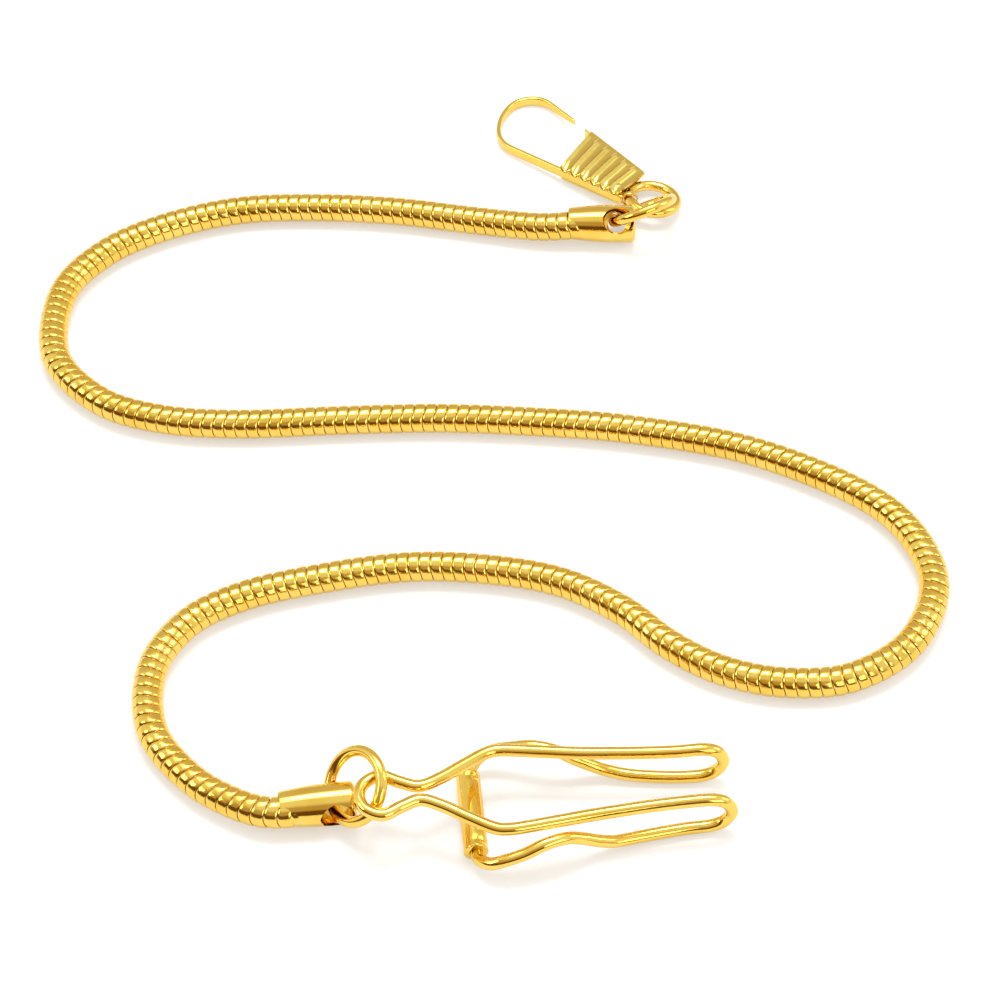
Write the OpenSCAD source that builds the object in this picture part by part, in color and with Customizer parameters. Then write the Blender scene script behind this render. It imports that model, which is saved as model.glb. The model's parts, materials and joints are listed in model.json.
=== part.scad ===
// Pocket watch chain: round snake chain with a spring clip at the watch end
// and a folded wire hook at the vest end. It lies on a flat surface at z = 0.

/* [Chain] */
// Outside diameter of the round snake chain
chain_d = 3; // [2.6:0.1:3]

/* [End caps] */
// Length of each end cap
cap_len = 7.1; // [6.8:0.1:7.4]
// Diameter of a cap where the chain goes in
cap_d_mouth = 3.3; // [3.3:0.1:3.6]
// Diameter of a cap around its cross hole
cap_d_eye = 4; // [3.9:0.1:4.1]
// Diameter of the cross hole that takes a ring
cap_hole_d = 2.8; // [2.7:0.1:2.8]
// Distance from the cross hole's axis to the closed end
cap_hole_in = 1.95; // [1.9:0.05:2.1]

/* [Rings] */
// Wire diameter of the three rings
ring_wire_d = 1.1; // [1:0.05:1.1]
// Outside diameter of the two cap rings
cap_ring_od = 7.7; // [7.6:0.1:7.8]
// Outside diameter of the clip ring
clip_ring_od = 6.2; // [6.1:0.1:6.3]

/* [Clip] */
// Thickness of the clip's strip in the plane of the hook
strip_t = 0.45; // [0.4:0.05:0.5]
// Height of the clip's strip across the plane of the hook
strip_h = 1.1; // [1:0.05:1.2]
// Length of the hook's straight tip
tip_len = 3.8; // [3.4:0.1:3.8]
// Sheet thickness of the lever
lever_t = 0.25; // [0.2:0.05:0.3]
// Clear height between the lever's two cheeks
lever_gap = 1.4; // [1.35:0.05:1.5]
// Diameter of the pivot pin
pin_d = 0.8; // [0.7:0.05:0.85]
// Number of pressed ribs across the lever
rib_count = 5; // [4:1:7]

/* [Vest hook] */
// Wire diameter of the vest hook
hook_wire_d = 1.2; // [1.1:0.05:1.25]
// Outside diameter of the sleeve that joins the wire's ends
sleeve_d = 2.3; // [2:0.1:2.3]
// Length of the sleeve
sleeve_len = 8.8; // [8:0.1:9.2]

/* [Hidden] */
$fn = 48;
skin = 0.01;
fit_gap = 0.03;

// Where the pieces lie: the point each one is built from and its turn about Z
watch_cap_at = [6.56, 30.99, 2];
watch_cap_turn = 3.5;
watch_hole_tilt = 55;
hook_cap_at = [-21, -45.8, 2];
hook_cap_turn = 11.3;
hook_hole_tilt = 4;
clip_at = [12.2, 35.65, 1.55];
clip_turn = 144.2;
clip_lean = 3.2;
vest_hook_at = [-8, -46, 0];
vest_hook_turn = 5.5;

// Centre, tilt from flat and direction of tilt of each ring
watch_ring_pose = [[14.43, 32.38, 2.95], 45.4, 121.3];
clip_ring_pose = [[15.65, 35.7, 1.35], 11.2, 58];
hook_ring_pose = [[-14, -44.45, 4.22], 49, 209];

// The chain's route from the floor of one cap's socket to the other's
socket_depth = 3.4;
chain_route = [
    [9.95, 31.2, 2], [6.55, 30.99, 2], [3, 31.12, 1.75], [-3, 32.2, 1.52],
    [-12, 33.7, 1.52], [-21, 34.25, 1.52], [-29, 33.7, 1.52], [-36.5, 31.2, 1.52],
    [-42.5, 27.3, 1.52], [-46.4, 21.3, 1.52], [-46.4, 12.4, 1.52],
    [-41.5, 6.3, 1.52], [-35, 3.7, 1.52], [-27, 3, 1.52], [-17, 3.5, 1.52],
    [-7, 3.8, 1.52], [3, 3.3, 1.52], [13, 2.2, 1.52], [24, -0.4, 1.52],
    [34, -5.5, 1.52], [39.4, -10.8, 1.52], [41.6, -18, 1.52], [38.9, -25.2, 1.52],
    [33, -29.5, 1.52], [26.5, -30.2, 1.52], [20.5, -28.7, 1.52],
    [15.5, -25.5, 1.52], [11, -21.2, 1.52], [5, -17.7, 1.52], [-2.5, -16.1, 1.52],
    [-10, -15.9, 1.52], [-18, -17.3, 1.52], [-25.5, -19.5, 1.52],
    [-30.9, -23, 1.52], [-33.9, -28.7, 1.52], [-33.4, -36, 1.52],
    [-29.4, -41.6, 1.52], [-24.5, -44.9, 1.75], [-21, -45.8, 2], [-17.67, -45.13, 2]
];

// ---- Curves ----------------------------------------------------------------

// Point at t along the smooth curve from b to c, with neighbours a and d
function between(a, b, c, d, t) =
    (2 * b + (c - a) * t + (2 * a - 5 * b + 4 * c - d) * t * t
    + (3 * b - a - 3 * c + d) * t * t * t) / 2;

// Smooth curve through points, with steps stretches between neighbours
function smooth(points, steps) = let (last = len(points) - 1) [
    for (i = [0 : last - 1], k = [0 : steps - 1])
        between(points[max(i - 1, 0)], points[i], points[i + 1],
            points[min(i + 2, last)], k / steps),
    points[last]
];

function unit(v) = v / norm(v);

function along(path, i) =
    unit(path[min(i + 1, len(path) - 1)] - path[max(i - 1, 0)]);

function square_to(v, t) = unit(v - (v * t) * t);

// One sideways direction for each point, carried along without twisting
function sideways(path, first) = [
    for (i = 0, v = square_to(first, along(path, 0)); i < len(path);
        i = i + 1, v = i < len(path) ? square_to(v, along(path, i)) : v) v
];

// Round rod of the given radius swept along a path
module swept_rod(path, r, sides, first) {
    side = sideways(path, first);
    rings = [
        for (i = [0 : len(path) - 1], k = [0 : sides - 1])
            let (a = 360 * k / sides, t = along(path, i))
            path[i] + r * (cos(a) * side[i] + sin(a) * cross(t, side[i]))
    ];
    last = len(path) - 1;
    walls = [
        for (i = [0 : last - 1], k = [0 : sides - 1])
            let (a = i * sides + k, b = i * sides + (k + 1) % sides)
            [a, a + sides, b + sides, b]
    ];
    start_face = [for (k = [0 : sides - 1]) k];
    end_face = [for (k = [sides - 1 : -1 : 0]) last * sides + k];
    polyhedron(rings, concat([start_face], walls, [end_face]), convexity = 10);
}

// ---- Chain and its caps ------------------------------------------------------

module snake_chain() {
    color("goldenrod")
    swept_rod(smooth(chain_route, 2), chain_d / 2, 8, [0, 0, 1]);
}

module cap_profile() {
    eye_r = cap_d_eye / 2;
    mouth_r = cap_d_mouth / 2;
    corner = 0.5;
    shoulder = 4.4;
    polygon([
        [0, 0], [mouth_r, 0], [mouth_r + 0.02, 0.3], [eye_r, shoulder],
        [eye_r, cap_len - corner], [eye_r - corner, cap_len - corner],
        [eye_r - corner, cap_len], [0, cap_len]
    ]);
    translate([eye_r - corner, cap_len - corner])
    circle(r = corner);
}

// End cap along +X from its mouth; its cross hole leans tilt above the level
module end_cap(tilt) {
    hole_at = cap_len - cap_hole_in;
    sink_r = cap_hole_d / 2 + 0.4;
    difference() {
        rotate([0, 90, 0])
        rotate_extrude()
        cap_profile();
        translate([-1, 0, 0])
        rotate([0, 90, 0])
        cylinder(h = socket_depth + 1, d = chain_d + 0.04);
        translate([hole_at, 0, 0])
        rotate([90 - tilt, 0, 0]) {
            cylinder(h = cap_d_eye + 2, d = cap_hole_d, center = true);
            for (end = [0, 180])
                rotate([end, 0, 0])
                translate([0, 0, cap_d_eye / 2 - 0.6])
                cylinder(h = 1, r1 = cap_hole_d / 2, r2 = sink_r + 0.2);
        }
    }
}

module watch_end_cap() {
    color("gold")
    translate(watch_cap_at)
    rotate([0, 0, watch_cap_turn])
    end_cap(watch_hole_tilt);
}

module hook_end_cap() {
    color("gold")
    translate(hook_cap_at)
    rotate([0, 0, hook_cap_turn])
    end_cap(hook_hole_tilt);
}

// ---- Rings -------------------------------------------------------------------

module wire_ring(od, pose) {
    translate(pose[0])
    rotate([0, pose[1], pose[2]])
    rotate_extrude()
    translate([(od - ring_wire_d) / 2, 0])
    circle(d = ring_wire_d);
}

module watch_cap_ring() {
    color("gold")
    wire_ring(cap_ring_od, watch_ring_pose);
}

module clip_ring() {
    color("gold")
    wire_ring(clip_ring_od, clip_ring_pose);
}

module hook_cap_ring() {
    color("gold")
    wire_ring(cap_ring_od, hook_ring_pose);
}

// ---- Clip ----------------------------------------------------------------------
// Built level about its mid height, with +X towards the bend and +Y towards the
// mouth. The strip's straight shank runs along X; the tail rests on the rings.

shank_y = -0.08;
shank_r = 3.5;
back_r = 6.5;
top_r = 2.9;
back_turn = 40;
tip_turn = 102;
// Centres of the bend's three arcs, each worked out from the one before
shank_centre = [14.25, shank_y + shank_r];
back_centre = shank_centre - (back_r - shank_r) * [cos(back_turn), -sin(back_turn)];
top_centre = back_centre + [back_r - top_r, 0];
pivot_at = [0.95, 0.75];
shank_start = -0.25;
boss_d = 1.5;
eye_at = [-0.9, 0.42, 0.05];
eye_turn = -38;
eye_d = 1.84;
eye_hole_d = 1.5;

module place_clip() {
    translate(clip_at)
    rotate([0, clip_lean, clip_turn])
    mirror([0, 1, 0])
    children();
}

// Part of a flat ring between two turns of up to a half circle
module arc_band(r, from, to) {
    reach = 3 * r;
    middle = (from + to) / 2;
    intersection() {
        difference() {
            circle(r = r + strip_t / 2);
            circle(r = r - strip_t / 2);
        }
        polygon([
            [0, 0], reach * [cos(from), sin(from)], reach * [cos(middle), sin(middle)],
            reach * [cos(to), sin(to)]
        ]);
    }
}

// Flat strip of the hook, seen from above
module strip_outline() {
    translate([shank_start, shank_y - strip_t / 2])
    square([shank_centre[0] - shank_start + skin, strip_t]);
    translate(shank_centre)
    arc_band(shank_r, -90, -back_turn + skin);
    translate(back_centre)
    arc_band(back_r, -back_turn, skin);
    translate(top_centre)
    arc_band(top_r, 0, tip_turn);
    translate(top_centre)
    rotate(tip_turn)
    translate([top_r, -skin])
    polygon([
        [-strip_t / 2, 0], [strip_t / 2, 0],
        [strip_t / 4, tip_len], [-strip_t / 4, tip_len]
    ]);
}

// Tab at the tail with the hole that takes the clip ring
module tail_eye() {
    neck = [1.1, strip_t, 1.1];
    translate(eye_at)
    rotate([0, 0, eye_turn])
    difference() {
        union() {
            rotate([90, 0, 0])
            cylinder(h = strip_t, d = eye_d, center = true);
            translate([0, -strip_t / 2, -neck[2] / 2 - eye_at[2]])
            cube(neck);
        }
        rotate([90, 0, 0])
        cylinder(h = 4, d = eye_hole_d, center = true);
    }
}

module pivot_hole(gap) {
    translate(pivot_at)
    cylinder(h = 4, d = pin_d + 2 * gap, center = true);
}

module clip_hook() {
    color("gold")
    place_clip() {
        difference() {
            union() {
                translate([0, 0, -strip_h / 2])
                linear_extrude(strip_h)
                strip_outline();
                translate(pivot_at)
                cylinder(h = lever_gap - 0.1, d = boss_d, center = true);
            }
            pivot_hole(0);
        }
        tail_eye();
    }
}

module clip_pivot_pin() {
    color("darkgoldenrod")
    place_clip()
    translate(pivot_at)
    cylinder(h = lever_gap + 2 * lever_t, d = pin_d, center = true);
}

// The lever's cheek, seen from above: its corners at the tail and at the mouth. The
// lower cheek starts further in, so that the clip ring can pass under the upper one.
lever_tail = [[0.05, -0.1], [-0.7, 4]];
lever_mouth = [[7.7, -0.1], [8.15, 6.4]];
lower_tail = [[0.3, -0.1], [0.5, 4.35]];
web_start = 0.7;
tongue_len = 0.95;
tongue_h = 1.3;

// Web that joins the two cheeks along the mouth side, with the tongue
module lever_web() {
    run = lever_mouth[1] - lever_tail[1];
    height = lever_gap + lever_t;
    translate(lever_tail[1])
    rotate([0, 0, atan2(run[1], run[0])]) {
        translate([web_start, -lever_t - skin, -height / 2])
        cube([norm(run) - web_start - skin, lever_t, height]);
        translate([norm(run) - 0.1, -lever_t, -tongue_h / 2])
        cube([tongue_len + 0.1, lever_t - 2 * skin, tongue_h]);
    }
}

// Half-round ribs pressed out of the upper cheek, side by side along the lever
module ribs() {
    rib_r = 0.2;
    edge = 0.25;
    for (i = [0 : rib_count - 1]) {
        share = (i + 1) / (rib_count + 1);
        low = lever_tail[0] + share * (lever_mouth[0] - lever_tail[0]);
        high = lever_tail[1] + share * (lever_mouth[1] - lever_tail[1]);
        run = high - low;
        translate([low[0], low[1], lever_gap / 2 + lever_t])
        rotate([0, 0, atan2(run[1], run[0])])
        translate([edge, 0, 0])
        rotate([0, 90, 0])
        cylinder(h = norm(run) - 2 * edge, r = rib_r);
    }
}

module clip_lever() {
    color("khaki")
    place_clip()
    difference() {
        union() {
            translate([0, 0, lever_gap / 2])
            linear_extrude(lever_t)
            polygon([lever_tail[0], lever_mouth[0], lever_mouth[1], lever_tail[1]]);
            translate([0, 0, -lever_gap / 2 - lever_t])
            linear_extrude(lever_t)
            polygon([lower_tail[0], lever_mouth[0], lever_mouth[1], lower_tail[1]]);
            lever_web();
            ribs();
        }
        pivot_hole(fit_gap);
    }
}

// Leaf spring between the shank and the web
module clip_spring() {
    leaf_t = 0.15;
    leaf_h = 0.6;
    loop_r = 0.8;
    color("silver")
    place_clip()
    translate([2, 0.3, -leaf_h / 2])
    linear_extrude(leaf_h) {
        square([3, leaf_t]);
        translate([3, loop_r])
        difference() {
            circle(r = loop_r);
            circle(r = loop_r - leaf_t);
            translate([-2 * loop_r, -2 * loop_r])
            square([2 * loop_r, 4 * loop_r]);
        }
        translate([skin, 2 * loop_r - leaf_t])
        square([3, leaf_t]);
        translate([skin, 2 * loop_r - leaf_t])
        rotate(75)
        square([2.4, leaf_t]);
    }
}

// ---- Vest hook -------------------------------------------------------------------
// Built with its narrow waist at the origin and +X towards the folded prongs.

// One half of the wire from the middle of the sleeve to the end of the eye
sleeve_at = [4.75, 0.2, 1.15];
half_wire = [
    [4.75, 0.1, 1.15], [4.75, 2.4, 1.15], [4.8, 4.5, 1.15], [5.2, 5.4, 1.4],
    [6, 6.1, 1.9], [7.2, 6.3, 2.5], [9, 6.1, 3], [11, 5.6, 3.6],
    [13, 5, 3.45], [14.6, 4.6, 2.6], [16, 4.4, 1.8], [17.6, 4.1, 1.1],
    [19.7, 3.6, 0.75], [22.2, 3.2, 0.65], [24.6, 2.95, 0.63], [26.5, 2.9, 0.67],
    [27.8, 2.9, 1.25], [28.5, 2.9, 2.6], [27.9, 2.9, 4.1], [26.6, 2.9, 4.7],
    [24, 2.9, 4.7], [21, 3.05, 4.7], [18, 3.3, 4.7], [15, 3.6, 4.7],
    [12, 4, 4.75], [9.4, 4.35, 4.8], [7.8, 4.5, 4.85], [6.4, 4.25, 4.9],
    [4, 2.85, 5.05], [2, 1.6, 5.2], [0, 0.78, 5.3], [-1.8, 1.4, 5.35],
    [-3.5, 2.2, 5.4], [-4.9, 1.6, 5.4], [-5.5, 0.6, 5.4]
];
mirrored_half = [
    for (i = [len(half_wire) - 1 : -1 : 0])
        [half_wire[i][0], -half_wire[i][1], half_wire[i][2]]
];

module place_vest_hook() {
    translate(vest_hook_at)
    rotate([0, 0, vest_hook_turn])
    children();
}

module vest_hook_wire() {
    color("gold")
    place_vest_hook()
    swept_rod(smooth(concat(half_wire, mirrored_half), 2), hook_wire_d / 2, 10, [0, 0, 1]);
}

module vest_hook_sleeve() {
    color("gold")
    place_vest_hook()
    translate(sleeve_at)
    rotate([90, 0, 0])
    difference() {
        cylinder(h = sleeve_len, d = sleeve_d, center = true);
        cylinder(h = sleeve_len + 1, d = hook_wire_d + 0.04, center = true);
    }
}

snake_chain();
watch_end_cap();
hook_end_cap();
watch_cap_ring();
clip_ring();
hook_cap_ring();
clip_hook();
clip_lever();
clip_pivot_pin();
clip_spring();
vest_hook_wire();
vest_hook_sleeve();
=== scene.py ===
"""Looks of a pocket watch chain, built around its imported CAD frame, in metres."""

import json
import math

import bmesh
import bpy
import numpy as np
from mathutils import Euler, Matrix, Vector


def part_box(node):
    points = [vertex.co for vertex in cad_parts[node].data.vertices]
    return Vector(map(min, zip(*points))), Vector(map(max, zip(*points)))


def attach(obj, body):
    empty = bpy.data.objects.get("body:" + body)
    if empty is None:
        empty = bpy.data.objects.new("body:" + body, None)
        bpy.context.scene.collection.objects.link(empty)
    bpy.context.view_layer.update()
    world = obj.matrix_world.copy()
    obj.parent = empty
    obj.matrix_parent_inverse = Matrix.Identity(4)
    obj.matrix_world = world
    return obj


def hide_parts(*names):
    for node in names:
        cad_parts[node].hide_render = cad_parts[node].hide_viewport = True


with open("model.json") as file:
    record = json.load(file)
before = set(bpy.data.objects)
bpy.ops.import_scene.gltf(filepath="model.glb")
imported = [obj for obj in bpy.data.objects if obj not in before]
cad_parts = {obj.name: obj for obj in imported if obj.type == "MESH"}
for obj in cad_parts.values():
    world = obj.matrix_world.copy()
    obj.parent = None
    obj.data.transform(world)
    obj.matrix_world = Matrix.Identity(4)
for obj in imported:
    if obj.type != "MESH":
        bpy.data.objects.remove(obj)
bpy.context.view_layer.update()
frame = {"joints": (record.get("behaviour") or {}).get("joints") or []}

MM = 0.001
TAU = 2 * math.pi
UP = np.array([0.0, 0.0, 1.0])
JOINTS = {joint["name"]: joint for joint in frame["joints"]}


# ---- Camera --------------------------------------------------------------------

CAMERA_AT = (-0.0006, -0.241917, 0.271396)
CAMERA_DOWN = 49
CAMERA_LENS = 129.34


def make_camera():
    data = bpy.data.cameras.new("camera")
    data.sensor_width = 36.0
    data.lens = CAMERA_LENS
    data.clip_start = 0.01
    data.clip_end = 20.0
    camera = bpy.data.objects.new("camera", data)
    camera.location = CAMERA_AT
    camera.rotation_euler = Euler((math.radians(90 - CAMERA_DOWN), 0, 0))
    bpy.context.scene.collection.objects.link(camera)
    bpy.context.scene.camera = camera


# ---- Curves and meshes ---------------------------------------------------------


def unit(v):
    v = np.asarray(v, float)
    return v / np.linalg.norm(v)


def smooth(points, steps):
    """Smooth curve through points, with steps stretches between neighbours."""
    p = np.asarray(points, float)
    ends = np.vstack([p[:1], p, p[-1:]])
    curve = []
    for a, b, c, d in zip(ends, ends[1:], ends[2:], ends[3:]):
        for k in range(steps):
            t = k / steps
            cubic = 3 * b - a - 3 * c + d
            curve.append(
                (2 * b + (c - a) * t + (2 * a - 5 * b + 4 * c - d) * t * t + cubic * t**3) / 2
            )
    curve.append(p[-1])
    return np.array(curve)


def lengths(path):
    """Distance along a path at each of its points."""
    return np.concatenate([[0], np.cumsum(np.linalg.norm(np.diff(path, axis=0), axis=1))])


def tangents(path):
    """Unit direction of a path at each of its points."""
    ahead = np.vstack([path[1:], path[-1:]])
    behind = np.vstack([path[:1], path[:-1]])
    d = ahead - behind
    return d / np.linalg.norm(d, axis=1)[:, None]


def carried_frame(path, first):
    """Two directions across each point of a path, carried along without twisting."""
    along = tangents(path)
    side = []
    v = np.asarray(first, float)
    for t in along:
        v = unit(v - (v @ t) * t)
        side.append(v)
    side = np.array(side)
    return side, np.cross(along, side)


def new_piece(name, points, faces, sharp=35.0):
    """A smooth-shaded mesh object, with edges sharper than an angle in degrees kept."""
    mesh = bpy.data.meshes.new(name)
    mesh.from_pydata([tuple(p) for p in points], [], faces)
    mesh.validate()
    work = bmesh.new()
    work.from_mesh(mesh)
    bmesh.ops.remove_doubles(work, verts=work.verts, dist=1e-8)
    bmesh.ops.recalc_face_normals(work, faces=work.faces)
    work.to_mesh(mesh)
    work.free()
    mesh.shade_smooth()
    mesh.set_sharp_from_angle(angle=math.radians(sharp))
    piece = bpy.data.objects.new(name, mesh)
    bpy.context.scene.collection.objects.link(piece)
    return piece


def grid_faces(rows, columns, close_rows=False, close_columns=False, start=0):
    """Quads over rows of points that each have the same number of columns."""
    quads = []
    for i in range(rows if close_rows else rows - 1):
        for k in range(columns if close_columns else columns - 1):
            a = start + i * columns + k
            b = start + i * columns + (k + 1) % columns
            c = start + (i + 1) % rows * columns + (k + 1) % columns
            d = start + (i + 1) % rows * columns + k
            quads.append((a, b, c, d))
    return quads


def rod(path, radius, sides, first=UP):
    """Points and faces of a round rod along a path, with slightly domed ends."""
    side, across = carried_frame(path, first)
    along = tangents(path)
    turn = np.arange(sides) * TAU / sides
    around = np.cos(turn)[:, None, None] * side[None] + np.sin(turn)[:, None, None] * across[None]
    around = np.transpose(around, (1, 0, 2))
    rings = [path[0] + 0.75 * radius * around[0] - 0.12 * radius * along[0]]
    rings += [p + radius * ring for p, ring in zip(path, around)]
    rings.append(path[-1] + 0.75 * radius * around[-1] + 0.12 * radius * along[-1])
    points = np.vstack(rings)
    faces = grid_faces(len(rings), sides, close_columns=True)
    faces.append(tuple(range(sides)))
    faces.append(tuple((len(rings) - 1) * sides + k for k in reversed(range(sides))))
    return points, faces


def lathe(profile, sides, middle=(0, 0, 0), axis=(0, 0, 1)):
    """Points and faces of a closed profile of (along, radius) turned about an axis."""
    axis = unit(axis)
    side = unit(np.cross(axis, UP if abs(axis[2]) < 0.9 else (1, 0, 0)))
    across = np.cross(axis, side)
    points = []
    for along, radius in profile:
        for k in range(sides):
            turn = TAU * k / sides
            points.append(
                np.asarray(middle)
                + along * axis
                + radius * (math.cos(turn) * side + math.sin(turn) * across)
            )
    return np.array(points), grid_faces(len(profile), sides, close_rows=True, close_columns=True)


def arc(middle, radius, start, end, steps):
    """Points of a plane arc between two turns in degrees."""
    turns = np.radians(np.linspace(start, end, steps + 1))
    return np.stack([middle[0] + radius * np.cos(turns), middle[1] + radius * np.sin(turns)], 1)


def joined(parts):
    """One list of points and one of faces from several parts."""
    points, faces, start = [], [], 0
    for part_points, part_faces in parts:
        points.append(np.asarray(part_points, float))
        faces += [tuple(start + i for i in face) for face in part_faces]
        start += len(part_points)
    return np.vstack(points), faces


# ---- Materials -----------------------------------------------------------------


def add(tree, kind, **inputs):
    """A new shader node with the given input values."""
    node = tree.nodes.new(kind)
    for name, value in inputs.items():
        node.inputs[name.replace("_", " ")].default_value = value
    return node


def ramp(tree, factor, stops):
    """A colour ramp over (position, colour) stops."""
    node = tree.nodes.new("ShaderNodeValToRGB")
    elements = node.color_ramp.elements
    while len(elements) < len(stops):
        elements.new(0.5)
    for element, (position, colour) in zip(elements, stops):
        element.position = position
        element.color = (*colour, 1) if len(colour) == 3 else colour
    tree.links.new(factor, node.inputs[0])
    return node.outputs[0]


def metal(name, pale, deep, rough, bump, scratch=(1, 1, 1)):
    """Plated metal with uneven tone, fine handling marks and paler worn edges."""
    material = bpy.data.materials.new(name)
    material.use_nodes = True
    tree = material.node_tree
    shader = tree.nodes["Principled BSDF"]
    shader.inputs["Metallic"].default_value = 1.0
    place = tree.nodes.new("ShaderNodeTexCoord")
    cloud = add(tree, "ShaderNodeTexNoise", Scale=260.0, Detail=3.0, Roughness=0.55)
    tree.links.new(place.outputs["Object"], cloud.inputs["Vector"])
    tone = ramp(tree, cloud.outputs["Fac"], [(0.3, deep), (0.72, pale)])
    shape = tree.nodes.new("ShaderNodeNewGeometry")
    wear = ramp(tree, shape.outputs["Pointiness"], [(0.5, (0, 0, 0)), (0.62, (1, 1, 1))])
    worn = tree.nodes.new("ShaderNodeMix")
    worn.data_type = "RGBA"
    soften = tree.nodes.new("ShaderNodeMath")
    soften.operation = "MULTIPLY"
    soften.inputs[1].default_value = 0.45
    tree.links.new(wear, soften.inputs[0])
    tree.links.new(soften.outputs[0], worn.inputs["Factor"])
    tree.links.new(tone, worn.inputs[6])
    worn.inputs[7].default_value = (*[min(1.0, 1.05 * c + 0.02) for c in pale], 1)
    tree.links.new(worn.outputs[2], shader.inputs["Base Color"])

    stretch = add(tree, "ShaderNodeMapping")
    stretch.inputs["Scale"].default_value = scratch
    tree.links.new(place.outputs["Object"], stretch.inputs["Vector"])
    marks = add(tree, "ShaderNodeTexNoise", Scale=2400.0, Detail=4.0, Roughness=0.6)
    tree.links.new(stretch.outputs[0], marks.inputs["Vector"])
    spread = tree.nodes.new("ShaderNodeMapRange")
    spread.inputs["From Min"].default_value = 0.3
    spread.inputs["From Max"].default_value = 0.75
    spread.inputs["To Min"].default_value = rough[0]
    spread.inputs["To Max"].default_value = rough[1]
    tree.links.new(marks.outputs["Fac"], spread.inputs["Value"])
    tree.links.new(spread.outputs[0], shader.inputs["Roughness"])
    relief = add(tree, "ShaderNodeBump", Strength=bump, Distance=0.00005)
    tree.links.new(marks.outputs["Fac"], relief.inputs["Height"])
    tree.links.new(relief.outputs[0], shader.inputs["Normal"])
    return material


PALE_GOLD = (0.90, 0.64, 0.15)
DEEP_GOLD = (0.82, 0.53, 0.08)


def make_materials():
    return {
        "plated": metal("gold_plate", PALE_GOLD, DEEP_GOLD, (0.07, 0.16), 0.04),
        "links": metal("gold_links", (0.88, 0.62, 0.14), (0.78, 0.50, 0.07), (0.10, 0.20), 0.06),
        # Painted shade: a dark brown metal for the rod inside the chain, so the seams between the
        # links look shaded
        "seam_shade_rod": metal("link_seam_shade", (0.26, 0.13, 0.02), (0.14, 0.06, 0.01), (0.4, 0.6), 0.1),
        "lever": metal("gold_lever", (0.86, 0.66, 0.18), (0.74, 0.54, 0.11), (0.12, 0.2), 0.03),
        "steel": metal("spring_steel", (0.55, 0.53, 0.50), (0.40, 0.38, 0.36), (0.2, 0.35), 0.1),
    }


def finish_piece(piece, body, node, material):
    """Gives a piece its material, and puts it in place of its CAD node on its body."""
    piece.data.materials.append(material)
    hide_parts(node)
    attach(piece, body)
    return piece


# ---- Chain ----------------------------------------------------------------------

CHAIN_R = 1.5 * MM
LINK_PITCH = 1.11 * MM
CHAIN_ROUTE = np.array([
    [9.95, 31.2, 2], [6.55, 30.99, 2], [3, 31.12, 1.75], [-3, 32.2, 1.52],
    [-12, 33.7, 1.52], [-21, 34.25, 1.52], [-29, 33.7, 1.52], [-36.5, 31.2, 1.52],
    [-42.5, 27.3, 1.52], [-46.4, 21.3, 1.52], [-46.4, 12.4, 1.52],
    [-41.5, 6.3, 1.52], [-35, 3.7, 1.52], [-27, 3, 1.52], [-17, 3.5, 1.52],
    [-7, 3.8, 1.52], [3, 3.3, 1.52], [13, 2.2, 1.52], [24, -0.4, 1.52],
    [34, -5.5, 1.52], [39.4, -10.8, 1.52], [41.6, -18, 1.52], [38.9, -25.2, 1.52],
    [33, -29.5, 1.52], [26.5, -30.2, 1.52], [20.5, -28.7, 1.52],
    [15.5, -25.5, 1.52], [11, -21.2, 1.52], [5, -17.7, 1.52], [-2.5, -16.1, 1.52],
    [-10, -15.9, 1.52], [-18, -17.3, 1.52], [-25.5, -19.5, 1.52],
    [-30.9, -23, 1.52], [-33.9, -28.7, 1.52], [-33.4, -36, 1.52],
    [-29.4, -41.6, 1.52], [-24.5, -44.9, 1.75], [-21, -45.8, 2], [-17.67, -45.13, 2],
]) * MM


class Route:
    """Points and cross directions at any distance along a path."""

    def __init__(self, path):
        self.path = path
        self.at = lengths(path)
        self.along = tangents(path)
        self.across = np.cross(self.along, UP)
        self.across /= np.linalg.norm(self.across, axis=1)[:, None]
        self.up = np.cross(self.across, self.along)
        self.length = self.at[-1]

    def blend(self, table, s):
        return np.stack([np.interp(s, self.at, table[:, k]) for k in range(3)], -1)

    def surface(self, s, radius, turn):
        outward = (
            np.cos(turn)[..., None] * self.blend(self.up, s)
            + np.sin(turn)[..., None] * self.blend(self.across, s)
        )
        return self.blend(self.path, s) + np.asarray(radius)[..., None] * outward


def make_chain(materials):
    route = Route(smooth(CHAIN_ROUTE, 12))
    count = round(route.length / LINK_PITCH)
    pitch = route.length / count
    half = 0.5 * pitch
    # One link's section: distance along the chain from its middle, and radius
    reach = np.sin(np.linspace(-math.pi / 2, math.pi / 2, 13)) * 0.93
    section = [(-0.88, 0.80), *[(x, 1 - 0.085 * abs(x) ** 5) for x in reach], (0.88, 0.80)]
    sides = 36
    turn = np.arange(sides) * TAU / sides
    wave = 0.17 * pitch * np.cos(2 * turn + 0.9)
    parts = []
    for i in range(count):
        middle = (i + 0.5) * pitch
        rows = []
        for along, radius in section:
            s = np.clip(middle + along * half + wave, 0, route.length)
            rows.append(route.surface(s, np.full(sides, radius * CHAIN_R), turn))
        faces = grid_faces(len(section), sides, close_rows=True, close_columns=True)
        parts.append((np.vstack(rows), faces))
    links = new_piece("chain_links", *joined(parts), sharp=60)
    # A rod inside the links whose dark brown colour is painted shade, seen through the seams
    # between the links
    core_path = route.path[::3]
    seam_shade_rod = new_piece("chain_shade_core", *rod(core_path, 0.82 * CHAIN_R, 16), sharp=60)
    seam_shade_rod.data.materials.append(materials["seam_shade_rod"])
    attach(seam_shade_rod, "chain")
    finish_piece(links, "chain", "snake_chain", materials["links"])


# ---- Caps -----------------------------------------------------------------------

CAP_LEN = 7.1 * MM
HOLE_IN = 1.95 * MM  # from the closed end to the cross hole's middle


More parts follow.
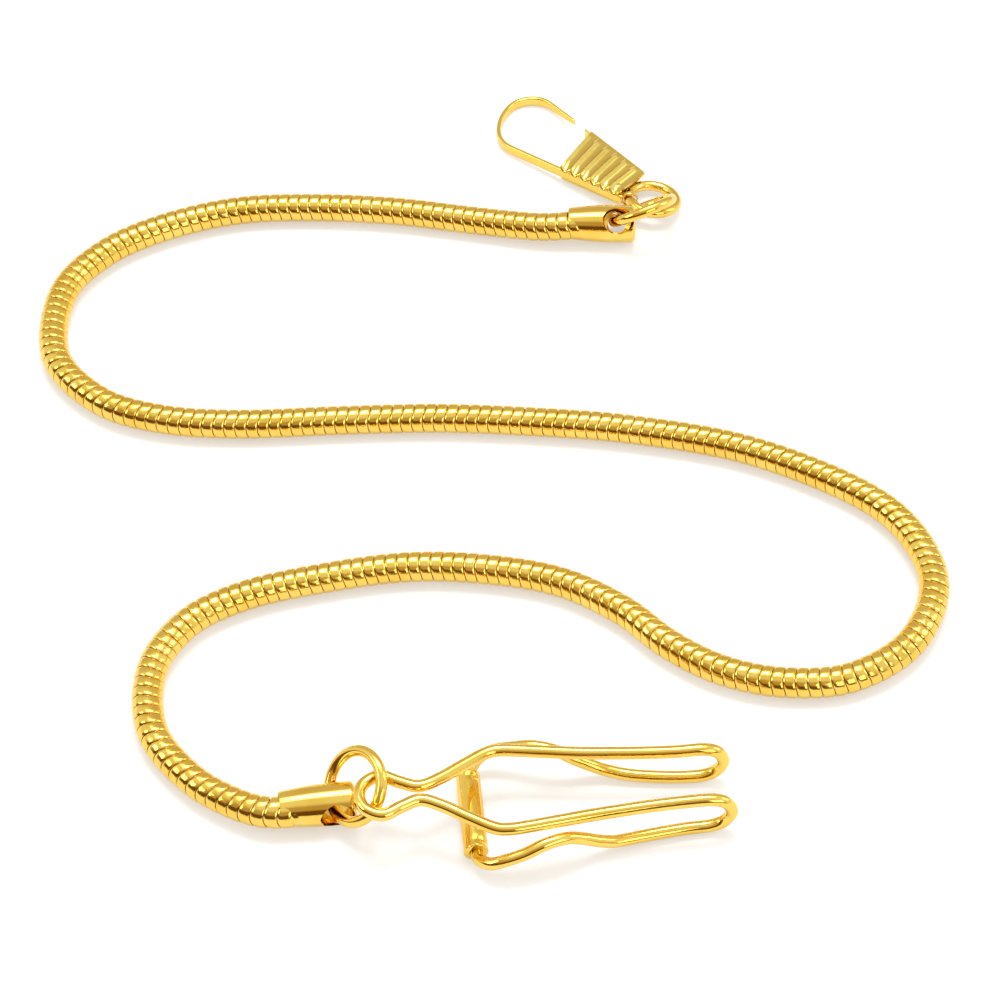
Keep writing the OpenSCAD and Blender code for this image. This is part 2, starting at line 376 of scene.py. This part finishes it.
def cap_profile():
    """Closed section of a cap, as distance from the mouth and radius."""
    edge = [(0.0, 1.53), (0.0, 1.6), (0.02, 1.63), (0.06, 1.65), (0.2, 1.67)]
    flank = [(x, 1.67 + 0.33 * math.sin((x - 0.2) / 4.4 * math.pi / 2)) for x in
             np.linspace(0.6, 4.6, 14)]
    flank += [(x, 2.0) for x in np.linspace(4.8, 6.5, 12)]
    corner = [(6.6 + 0.5 * math.sin(a), 1.5 + 0.5 * math.cos(a)) for a in
              np.linspace(0.0, math.pi / 2, 9)]
    flat = [(7.1 + 0.03 * (1 - r / 1.5), r) for r in (1.3, 1.0, 0.7, 0.4, 0.15, 0.01)]
    inside = [(3.4, 0.01), (3.4, 0.8), (3.4, 1.53), (2.2, 1.53), (1.1, 1.53)]
    return [(x * MM, r * MM) for x, r in edge + flank + corner + flat + inside]


def make_cap(name, node, joint, materials, narrow_exit=None):
    """A cap with its cross hole, built round the joint that its ring swings on."""
    hole = np.array(JOINTS[joint]["pos_m"])
    hole_axis = unit(JOINTS[joint]["axis"])
    low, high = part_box(node)
    box_middle = np.array((low + high) / 2)
    along = hole - box_middle
    along[2] = 0
    along = unit(along)
    mouth = hole - (CAP_LEN - HOLE_IN) * along
    body = new_piece(name, *lathe(cap_profile(), 96, mouth, along))
    reach = 3.0
    half_cut = [(0, 1.4), (1.2, 1.4), (1.5, 1.45), (1.75, 1.55), (1.9, 1.68), (reach, 2.75)]
    far_half = half_cut if narrow_exit is None else [(0, 1.4), (1.5, 1.4)]
    cut = [(-x * MM, r * MM) for x, r in reversed(far_half)][:-1]
    cut += [(x * MM, r * MM) for x, r in half_cut]
    cut += [(reach * MM, 0.01 * MM), (-far_half[-1][0] * MM, 0.01 * MM)]
    cutters = [new_piece(name + "_cutter", *lathe(cut, 96, hole, hole_axis))]
    if narrow_exit is not None:
        drill = [(-3, 0.01), (-3, 1.2), (-1.95, 1.02), (-1.8, 0.95), (0, 0.95), (0, 0.01)]
        drill = [(x * MM, r * MM) for x, r in drill]
        cutters.append(new_piece(name + "_drill", *lathe(drill, 64, hole + narrow_exit, hole_axis)))
    for k, cutter in enumerate(cutters):
        modifier = body.modifiers.new(f"hole_{k}", "BOOLEAN")
        modifier.object = cutter
        modifier.operation = "DIFFERENCE"
        modifier.solver = "EXACT"
    settle(body, 32)
    for cutter in cutters:
        bpy.data.objects.remove(cutter)
    return finish_piece(body, "chain", node, materials["plated"])


def exit_shift(swing, ring, turn):
    """How far the back of a cross hole is set over, towards the middle of a ring's swing."""
    axis = Vector(JOINTS[swing]["axis"]).normalized()
    towards = Vector(JOINTS[ring]["pos_m"]) - Vector(JOINTS[swing]["pos_m"])
    towards -= towards.dot(axis) * axis
    shifted = Matrix.Rotation(math.radians(turn), 3, axis) @ towards.normalized()
    return np.array(shifted) * 0.25 * MM


def settle(piece, sharp):
    """Applies a piece's modifiers to its mesh."""
    bpy.context.view_layer.update()
    shown = piece.evaluated_get(bpy.context.evaluated_depsgraph_get())
    mesh = bpy.data.meshes.new_from_object(shown)
    piece.modifiers.clear()
    old = piece.data
    piece.data = mesh
    mesh.name = piece.name
    bpy.data.meshes.remove(old)
    mesh.shade_smooth()
    mesh.set_sharp_from_angle(angle=math.radians(sharp))


# ---- Rings ----------------------------------------------------------------------

RING_WIRE_R = 0.55 * MM
CAP_RING_OUTSIDE = 7.7 * MM
CLIP_RING_OUTSIDE = 6.2 * MM
RING_SPLIT = 0.03 * MM  # half the hairline between the wire's ends

def make_ring(name, node, body, joint, outside, split_turn, materials):
    """A wire ring about a joint's axis, with a hairline where its ends meet."""
    middle = np.array(JOINTS[joint]["pos_m"])
    axis = unit(JOINTS[joint]["axis"])
    side = unit(np.cross(axis, UP))
    across = np.cross(axis, side)
    radius = outside / 2 - RING_WIRE_R
    gap = RING_SPLIT / radius
    turns = np.radians(split_turn) + np.linspace(gap, TAU - gap, 145)
    path = middle + radius * (
        np.cos(turns)[:, None] * side + np.sin(turns)[:, None] * across
    )
    ring = new_piece(name, *rod(path, RING_WIRE_R, 32, axis), sharp=50)
    return finish_piece(ring, body, node, materials["plated"])


# ---- Clip -----------------------------------------------------------------------
# Sizes are in millimetres, in the clip's own axes: x from tail to hook, z through the sheet.

STRIP_T = 0.45
STRIP_H = 1.1
PIVOT = (0.95, 0.75)
SHANK_Y = -0.08
SHANK_START = -0.25
SHANK_CENTRE = (14.25, SHANK_Y + 3.5)
BACK_CENTRE = (
    SHANK_CENTRE[0] - 3.0 * math.cos(math.radians(40)),
    SHANK_CENTRE[1] + 3.0 * math.sin(math.radians(40)),
)
TOP_CENTRE = (BACK_CENTRE[0] + 3.6, BACK_CENTRE[1])
TIP_TURN = 102
TIP_LEN = 3.8
EYE = (-0.9, 0.42, 0.05)
EYE_TURN = -38
LEVER_T = 0.25
LEVER_GAP = 1.4
LEVER_TAIL = np.array([[0.05, -0.1], [-0.7, 4.0]])
LEVER_MOUTH = np.array([[7.7, -0.1], [8.15, 6.4]])
LOWER_TAIL = np.array([[0.3, -0.1], [0.5, 4.35]])
FLUTES = 6


def clip_place():
    """The clip's own axes in the row frame, worked out from its lever's pivot."""
    joint = JOINTS["lever_press"]
    axis = unit(joint["axis"])
    turn = math.atan2(axis[1], axis[0])
    lean = math.acos(axis[2])
    turned = Matrix.Rotation(turn, 4, "Z") @ Matrix.Rotation(lean, 4, "Y")
    turned = turned @ Matrix.Diagonal((1, -1, 1, 1)) @ Matrix.Scale(MM, 4)
    pivot = turned @ Vector((PIVOT[0], PIVOT[1], 0))
    return Matrix.Translation(Vector(joint["pos_m"]) - pivot) @ turned


def placed(points, matrix):
    """Points moved by a 4 by 4 matrix."""
    m = np.array(matrix)
    return np.asarray(points, float) @ m[:3, :3].T + m[:3, 3]


def strip_centreline():
    shank = np.stack([np.linspace(SHANK_START, SHANK_CENTRE[0], 30), np.full(30, SHANK_Y)], 1)
    first = arc(SHANK_CENTRE, 3.5, -90, -40, 14)[1:]
    second = arc(BACK_CENTRE, 6.5, -40, 0, 14)[1:]
    third = arc(TOP_CENTRE, 2.9, 0, TIP_TURN, 26)[1:]
    turn = math.radians(TIP_TURN)
    away = np.array([-math.sin(turn), math.cos(turn)])
    tip = third[-1] + np.linspace(0, TIP_LEN, 12)[1:, None] * away
    return np.vstack([shank, first, second, third, tip])


def rounded_box(width, height, radius, steps=4):
    """Outline of a rectangle with round corners, anticlockwise."""
    corners = []
    for k, (x, y) in enumerate(((1, 1), (-1, 1), (-1, -1), (1, -1))):
        middle = (x * (width / 2 - radius), y * (height / 2 - radius))
        corners.append(arc(middle, radius, 90 * k, 90 * k + 90, steps))
    return np.vstack(corners)


def bulged_outline(width, height, count=40):
    """Outline of a strip whose four faces all bulge a little, anticlockwise."""
    turns = np.arange(count) * TAU / count
    c, s = np.cos(turns), np.sin(turns)
    return np.stack([
        width / 2 * np.sign(c) * np.sqrt(np.abs(c)),
        height / 2 * np.sign(s) * np.sqrt(np.abs(s)),
    ], 1)


def swept_strip(line, outline, edge, taper=None):
    """A strip on edge along a plane line, from its outline, with rounded ends."""
    path = np.column_stack([line, np.zeros(len(line))])
    along = tangents(path)
    sideways = np.cross(UP, along)
    half = np.abs(outline).max(axis=0)
    rows = []
    count = len(path)
    ends = [(0, -1, 0.5), (0, -0.6, 0.2), *[(i, 0, 0) for i in range(count)],
            (count - 1, 0.6, 0.2), (count - 1, 1, 0.5)]
    for i, push, trim in ends:
        grow = taper(i / (count - 1)) if taper else np.ones(2)
        shape = outline * grow * (1 - trim * edge / half)
        centre = path[i] + 0.5 * edge * push * along[i]
        rows.append(centre + shape[:, :1] * sideways[i] + shape[:, 1:] * UP)
    columns = len(outline)
    faces = grid_faces(len(rows), columns, close_columns=True)
    faces.append(tuple(range(columns)))
    faces.append(tuple((len(rows) - 1) * columns + k for k in reversed(range(columns))))
    return np.vstack(rows), faces


def washer(middle, axis, outer, inner, thick, edge):
    """A flat ring with rounded edges."""
    half = thick / 2
    profile = [(half - edge, outer), (half - 0.3 * edge, outer - 0.3 * edge), (half, outer - edge)]
    profile += [(half, inner + edge), (half - 0.3 * edge, inner + 0.3 * edge), (half - edge, inner)]
    profile += [(-x, r) for x, r in reversed(profile)]
    return lathe(profile, 48, middle, axis)


def make_clip_hook(materials):
    place = clip_place()

    def taper(share):
        late = max(0.0, (share - 0.84) / 0.16)
        return np.array([1 - 0.4 * late, 1 - 0.38 * late])

    strip = swept_strip(strip_centreline(), bulged_outline(1.1 * STRIP_T, STRIP_H), 0.14, taper)
    turn = math.radians(EYE_TURN)
    eye_axis = (-math.sin(turn), math.cos(turn), 0)
    eye = washer(EYE, eye_axis, 0.92, 0.75, STRIP_T, 0.1)
    rim = np.array([EYE[0] + 0.8 * math.cos(turn), EYE[1] + 0.8 * math.sin(turn)])
    shank_end = np.array([SHANK_START + 0.15, SHANK_Y])
    neck = swept_strip(np.linspace(rim, shank_end, 5), rounded_box(STRIP_T, 0.9, 0.1), 0.1)
    boss = lathe(
        [(-0.65, 0.42), (-0.65, 0.68), (-0.6, 0.75), (0.6, 0.75), (0.65, 0.68), (0.65, 0.42)],
        40, (*PIVOT, 0), (0, 0, 1),
    )
    points, faces = joined([strip, eye, neck, boss])
    piece = new_piece("strip_hook", placed(points, place), faces, sharp=40)
    return finish_piece(piece, "clip", "clip_hook", materials["plated"])


def make_clip_pin(materials):
    height = LEVER_GAP / 2 + LEVER_T
    dome = [(0.06, 0.02), (0.05, 0.2), (0.02, 0.34), (-0.04, 0.4)]
    dome = [(height + x, r) for x, r in dome]
    profile = dome + [(-x, r) for x, r in reversed(dome)]
    points, faces = lathe(profile, 32, (*PIVOT, 0), (0, 0, 1))
    piece = new_piece("pivot_pin", placed(points, clip_place()), faces, sharp=60)
    return finish_piece(piece, "clip", "clip_pivot_pin", materials["plated"])


def make_clip_spring(materials):
    low = np.stack([np.linspace(2.0, 5.0, 12), np.full(12, 0.375)], 1)
    bend = arc((5.0, 1.1), 0.725, -90, 90, 16)[1:]
    back = np.stack([np.linspace(5.0, 2.05, 12), np.full(12, 1.825)], 1)[1:]
    rise = back[-1] + np.linspace(0, 2.3, 10)[1:, None] * np.array([0.26, 0.966])
    line = np.vstack([low, bend, back, rise])
    points, faces = swept_strip(line, rounded_box(0.15, 0.6, 0.05), 0.05)
    piece = new_piece("leaf_spring", placed(points, clip_place()), faces, sharp=40)
    return finish_piece(piece, "clip", "clip_spring", materials["steel"])


def make_lever(materials):
    """The channel-shaped lever: fluted upper cheek, web and plain lower cheek."""
    top = LEVER_GAP / 2 + LEVER_T / 2
    bend = 0.22
    columns = 241
    share = np.linspace(0, 1, columns)
    flute = np.abs(np.sin(math.pi * FLUTES * share))
    ridge = (1 - flute) ** 1.2
    tail_roll = np.clip(1 - share / 0.05, 0, 1) ** 2

    def upper(v):
        corner = 0.05 * (1 - math.sqrt(1 - max(0.0, (v - 0.8) / 0.2) ** 2))
        s = (corner + share * (1 - corner))[:, None]
        south = LEVER_TAIL[0] + s * (LEVER_MOUTH[0] - LEVER_TAIL[0])
        north = LEVER_TAIL[1] + s * (LEVER_MOUTH[1] - LEVER_TAIL[1])
        return south + v * (north - south), unit_rows(north - south)

    def lobe_fall(v):
        return -0.2 * max(0.0, 1 - v / 0.2) ** 2 * (0.3 + 0.7 * flute)

    low_south = LOWER_TAIL[0] + share[:, None] * (LEVER_MOUTH[0] - LOWER_TAIL[0])
    low_north = LOWER_TAIL[1] + share[:, None] * (LEVER_MOUTH[1] - LOWER_TAIL[1])
    rows = []
    # The curled south edge, where each flute ends in a rounded lobe
    line, across = upper(0.0)
    for k in range(8):
        turn = math.radians(85 * (1 - k / 8))
        drop = 0.3 * (1 - math.cos(turn)) * (0.6 + 0.4 * flute)
        out = (0.24 * math.sin(turn)) * (0.2 + 0.8 * flute**0.5)
        rise = 0.17 * ridge - 0.1 * tail_roll + lobe_fall(0.0)
        rows.append(np.column_stack([line - out[:, None] * across, top - drop + rise]))
    for v in np.linspace(0, 0.94, 44):
        fade = np.interp(v, [0, 0.86, 0.94], [1, 1, 0.0])
        line, across = upper(v)
        rise = fade * (0.24 * ridge - 0.03) - 0.1 * tail_roll + lobe_fall(v)
        rows.append(np.column_stack([line, top + rise]))
    north, across = upper(1.0)
    for a in np.radians(np.linspace(15, 90, 6)):
        line = north - (bend * (1 - math.sin(a))) * across
        height = top - bend * (1 - math.cos(a)) - 0.1 * tail_roll
        rows.append(np.column_stack([line, height]))
    for z in np.linspace(top - bend - 0.1, -top + bend + 0.1, 5):
        share_low = (top - z) / (2 * top)
        line = north + share_low * (low_north - north)
        rows.append(np.column_stack([line, np.full(columns, z)]))
    low_across = unit_rows(low_north - low_south)
    for a in np.radians(np.linspace(90, 15, 6)):
        line = low_north - (bend * (1 - math.sin(a))) * low_across
        rows.append(np.column_stack([line, np.full(columns, -top + bend * (1 - math.cos(a)))]))
    for v in np.linspace(0.93, 0, 12):
        line = low_south + v * (low_north - low_south)
        rows.append(np.column_stack([line, np.full(columns, -top)]))
    points = placed(np.vstack(rows), clip_place())
    piece = new_piece("fluted_lever", points, grid_faces(len(rows), columns), sharp=60)
    solid = piece.modifiers.new("sheet", "SOLIDIFY")
    solid.thickness = LEVER_T * MM * 0.9
    solid.offset = 0
    settle(piece, 55)
    join_into(piece, make_tongue())
    return finish_piece(piece, "lever", "clip_lever", materials["lever"])


def unit_rows(table):
    """Each row of a table made one unit long."""
    return table / np.linalg.norm(table, axis=1)[:, None]


def make_tongue():
    """The strip at the lever's mouth that closes the hook."""
    run = unit(LEVER_MOUTH[1] - LEVER_TAIL[1])
    start = LEVER_MOUTH[1] - 0.5 * run - 0.14 * np.array([-run[1], run[0]])
    line = start + np.linspace(0, 1.45, 12)[:, None] * run
    points, faces = swept_strip(line, rounded_box(0.24, 1.3, 0.1), 0.1)
    return new_piece("tongue", placed(points, clip_place()), faces, sharp=40)


def join_into(piece, other):
    """Adds another piece's mesh to a piece, and removes the other."""
    work = bmesh.new()
    work.from_mesh(piece.data)
    work.from_mesh(other.data)
    work.to_mesh(piece.data)
    work.free()
    bpy.data.objects.remove(other)
    piece.data.shade_smooth()
    piece.data.set_sharp_from_angle(angle=math.radians(45))


# ---- Vest hook ------------------------------------------------------------------
# Sizes are in millimetres, in the hook's own axes, unless MM says otherwise.

HOOK_AT = (-8 * MM, -46 * MM, 0)
HOOK_TURN = math.radians(5.5)
HALF_WIRE = [
    [4.75, 0.1, 1.15], [4.75, 2.4, 1.15], [4.8, 4.5, 1.15], [5.2, 5.4, 1.4],
    [6, 6.1, 1.9], [7.2, 6.3, 2.5], [9, 6.1, 3], [11, 5.6, 3.6],
    [13, 5, 3.45], [14.6, 4.6, 2.6], [16, 4.4, 1.8], [17.6, 4.1, 1.1],
    [19.7, 3.6, 0.75], [22.2, 3.2, 0.65], [24.6, 2.95, 0.63], [26.5, 2.9, 0.67],
    [27.8, 2.9, 1.25], [28.5, 2.9, 2.6], [27.9, 2.9, 4.1], [26.6, 2.9, 4.7],
    [24, 2.9, 4.7], [21, 3.05, 4.7], [18, 3.3, 4.7], [15, 3.6, 4.7],
    [12, 4, 4.75], [9.4, 4.35, 4.8], [7.8, 4.5, 4.85], [6.4, 4.25, 4.9],
    [4, 2.85, 5.05], [2, 1.6, 5.2], [0, 0.78, 5.3], [-1.8, 1.4, 5.35],
    [-3.5, 2.2, 5.4], [-4.9, 1.6, 5.4], [-5.5, 0.6, 5.4],
]
WIRE_R = 0.6
SLEEVE_AT = (4.75, 0.2, 1.15)
SLEEVE_LEN = 8.8
SLEEVE_R = 1.15


def hook_place():
    """The vest hook's own axes in the row frame."""
    turned = Matrix.Rotation(HOOK_TURN, 4, "Z") @ Matrix.Scale(MM, 4)
    return Matrix.Translation(HOOK_AT) @ turned


def make_vest_wire(materials):
    mirrored = [[x, -y, z] for x, y, z in reversed(HALF_WIRE)]
    path = smooth(HALF_WIRE + mirrored, 8)
    points, faces = rod(path, WIRE_R, 32)
    piece = new_piece("folded_wire", placed(points, hook_place()), faces, sharp=60)
    return finish_piece(piece, "vest_hook", "vest_hook_wire", materials["plated"])


def make_sleeve(materials):
    """A rolled tube over the wire's ends, pinched near each end."""
    steps, sides = 60, 64
    inner = WIRE_R + 0.03
    half = SLEEVE_LEN / 2
    rows = []
    stations = list(np.linspace(-half + 0.08, half - 0.08, steps))
    outer = [(-half, SLEEVE_R - 0.1), (-half + 0.03, SLEEVE_R - 0.03)]
    outer += [(s, SLEEVE_R) for s in stations]
    outer += [(half - 0.03, SLEEVE_R - 0.03), (half, SLEEVE_R - 0.1)]
    loop = outer + [(half, inner), (0, inner), (-half, inner)]
    for s, radius in loop:
        pinch = math.exp(-(((abs(s) - half + 0.75) / 0.3) ** 2)) if radius > 1 else 0
        ring = []
        for k in range(sides):
            turn = TAU * k / sides
            lobes = max(0.0, math.cos(turn - 0.9)) ** 6 + max(0.0, math.cos(turn + 2.2)) ** 6
            r = radius * (1 - 0.14 * pinch * lobes)
            ring.append((r * math.cos(turn), s, r * math.sin(turn)))
        rows.append(ring)
    points = np.array(rows).reshape(-1, 3) + np.array(SLEEVE_AT)
    faces = grid_faces(len(loop), sides, close_rows=True, close_columns=True)
    piece = new_piece("sleeve", placed(points, hook_place()), faces, sharp=50)
    return finish_piece(piece, "vest_hook", "vest_hook_sleeve", materials["plated"])


# ---- Stage ----------------------------------------------------------------------


FLOOR_REACH = 3.0
FLOOR_DROP = 0.02 * MM


def make_floor():
    steps = 8
    side = np.linspace(-FLOOR_REACH, FLOOR_REACH, steps)
    points = [(x, y, -FLOOR_DROP) for x in side for y in side]
    floor = new_piece("floor", points, grid_faces(steps, steps))
    material = bpy.data.materials.new("white_floor")
    material.use_nodes = True
    shader = material.node_tree.nodes["Principled BSDF"]
    shader.inputs["Base Color"].default_value = (0.5, 0.5, 0.5, 1)
    shader.inputs["Roughness"].default_value = 0.6
    shader.inputs["Emission Color"].default_value = (1, 1, 1, 1)
    shader.inputs["Emission Strength"].default_value = 0.45
    floor.data.materials.append(material)


def step_up(tree, value, low, high, bottom=0.0, top=1.0):
    """A smooth rise from bottom to top while value goes from low to high."""
    node = tree.nodes.new("ShaderNodeMapRange")
    node.interpolation_type = "SMOOTHSTEP"
    node.inputs["From Min"].default_value = low
    node.inputs["From Max"].default_value = high
    node.inputs["To Min"].default_value = bottom
    node.inputs["To Max"].default_value = top
    tree.links.new(value, node.inputs["Value"])
    return node.outputs[0]


def combine(tree, operation, first, second):
    """The result of a math node on two values."""
    node = tree.nodes.new("ShaderNodeMath")
    node.operation = operation
    tree.links.new(first, node.inputs[0])
    tree.links.new(second, node.inputs[1])
    return node.outputs[0]


def make_world():
    """A pale room whose near side is brown, and darkest low down."""
    world = bpy.data.worlds.new("room")
    bpy.context.scene.world = world
    world.use_nodes = True
    tree = world.node_tree
    background = tree.nodes["Background"]
    place = tree.nodes.new("ShaderNodeTexCoord")
    parts = tree.nodes.new("ShaderNodeSeparateXYZ")
    tree.links.new(place.outputs["Generated"], parts.inputs[0])
    leftward = tree.nodes.new("ShaderNodeMath")
    leftward.operation = "MULTIPLY_ADD"
    leftward.inputs[1].default_value = 0.35
    tree.links.new(parts.outputs["X"], leftward.inputs[0])
    tree.links.new(parts.outputs["Y"], leftward.inputs[2])
    near = step_up(tree, leftward.outputs[0], -0.1, -0.5)
    low = step_up(tree, parts.outputs["Z"], 0.62, 0.38)
    middle = step_up(tree, parts.outputs["Z"], 0.92, 0.74, 0.0, 0.45)
    shade = combine(tree, "MULTIPLY", near, combine(tree, "MAXIMUM", low, middle))
    far = step_up(tree, parts.outputs["Y"], 0.45, 0.75, 0.0, 0.3)
    shade = combine(tree, "MAXIMUM", shade, far)
    colour = ramp(tree, shade, [
        (0.0, (1.0, 1.0, 1.0)), (0.2, (0.82, 0.79, 0.72)),
        (0.45, (0.60, 0.46, 0.28)), (1.0, (0.16, 0.08, 0.025)),
    ])
    tree.links.new(colour, background.inputs["Color"])
    background.inputs["Strength"].default_value = 0.98


def make_light(name, place, size, power):
    """A rectangular area light that faces the object."""
    data = bpy.data.lights.new(name, "AREA")
    data.shape = "RECTANGLE"
    data.size, data.size_y = size
    data.energy = power
    light = bpy.data.objects.new(name, data)
    light.location = place
    direction = Vector((0, 0, 0)) - Vector(place)
    light.rotation_euler = direction.to_track_quat("-Z", "Y").to_euler()
    bpy.context.scene.collection.objects.link(light)


def make_lights():
    make_light("top_soft", (0.0, 0.22, 0.75), (0.7, 0.42), 1.3)
    make_light("top_gleam", (0.0, 0.22, 0.74), (0.38, 0.17), 2.6)
    make_light("left_soft", (-0.7, -0.1, 0.45), (0.4, 0.3), 1.4)
    make_light("right_soft", (0.7, 0.1, 0.4), (0.2, 0.4), 0.9)
    make_light("near_right", (0.42, -0.59, 0.34), (0.4, 0.36), 1.1)


# ---- All together ----------------------------------------------------------------

bpy.context.scene.view_settings.view_transform = "Standard"
make_camera()
finishes = make_materials()
make_chain(finishes)
back_shift = exit_shift("cap_ring_swing", "clip_ring_slide", 37)
make_cap("watch_cap", "watch_end_cap", "cap_ring_swing", finishes, back_shift)
make_cap("hook_cap", "hook_end_cap", "vest_ring_swing", finishes)
for ring_name, ring_node, ring_body, ring_joint, ring_outside, split_turn in (
    ("cap_ring_wire", "watch_cap_ring", "cap_ring", "clip_ring_slide", CAP_RING_OUTSIDE, 200),
    ("clip_ring_wire", "clip_ring", "small_ring", "clip_slide", CLIP_RING_OUTSIDE, 250),
    ("hook_ring_wire", "hook_cap_ring", "vest_ring", "vest_hook_slide", CAP_RING_OUTSIDE, 30),
):
    make_ring(ring_name, ring_node, ring_body, ring_joint, ring_outside, split_turn, finishes)
make_clip_hook(finishes)
make_clip_pin(finishes)
make_clip_spring(finishes)
make_lever(finishes)
make_vest_wire(finishes)
make_sleeve(finishes)
make_floor()
make_world()
make_lights()
